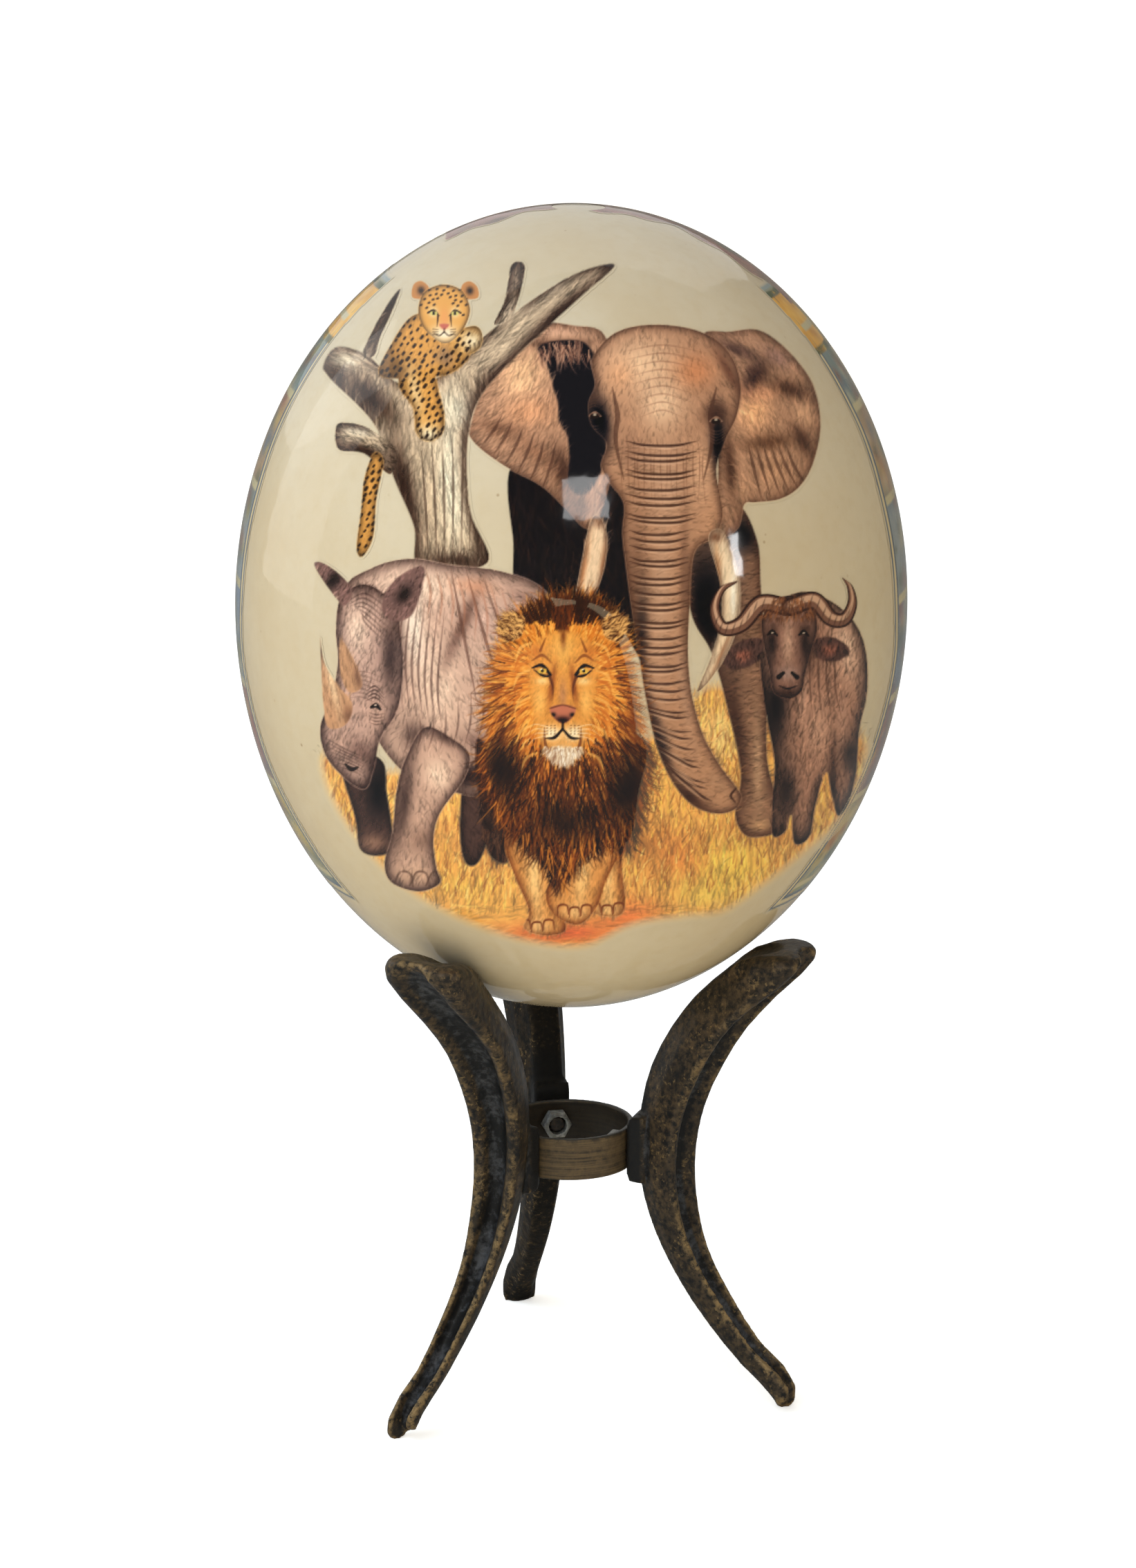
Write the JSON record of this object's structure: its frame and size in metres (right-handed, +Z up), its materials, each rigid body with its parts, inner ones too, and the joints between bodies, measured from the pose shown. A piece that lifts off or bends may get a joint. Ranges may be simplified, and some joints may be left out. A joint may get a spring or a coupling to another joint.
{
  "type": "decorated ostrich egg on stand",
  "caption": "Lacquered ostrich egg with painted decoration, resting upright in the cradles of a cast metal stand whose curved, grooved legs are bolted round a small ring.",
  "frame": {"origin": "on the stand's upright axis, through the middle of its ring, at floor level", "axes": "+Z is up, -Y is the front that carries the main picture, and +X is to the right as seen from the front"},
  "size_m": [0.1254, 0.1254, 0.2291],
  "materials": {
    "lacquered_shell": "clear gloss lacquer over cream shell and a printed decoration",
    "bronze_patina": "dark antique patina rubbed through to brass colour along the edges",
    "brushed_band": "brushed brown gold with dark chips at the rims",
    "dark_steel": "plain steel, dulled"
  },
  "bodies": {
    "root": {"egg": "lacquered_shell", "ring": "brushed_band", "leg_left": "bronze_patina", "leg_right": "bronze_patina", "leg_back": "bronze_patina", "stud_left": "dark_steel", "stud_right": "dark_steel", "stud_back": "dark_steel", "nut_left": "dark_steel", "nut_right": "dark_steel", "nut_back": "dark_steel"}
  },
  "joints": []
}
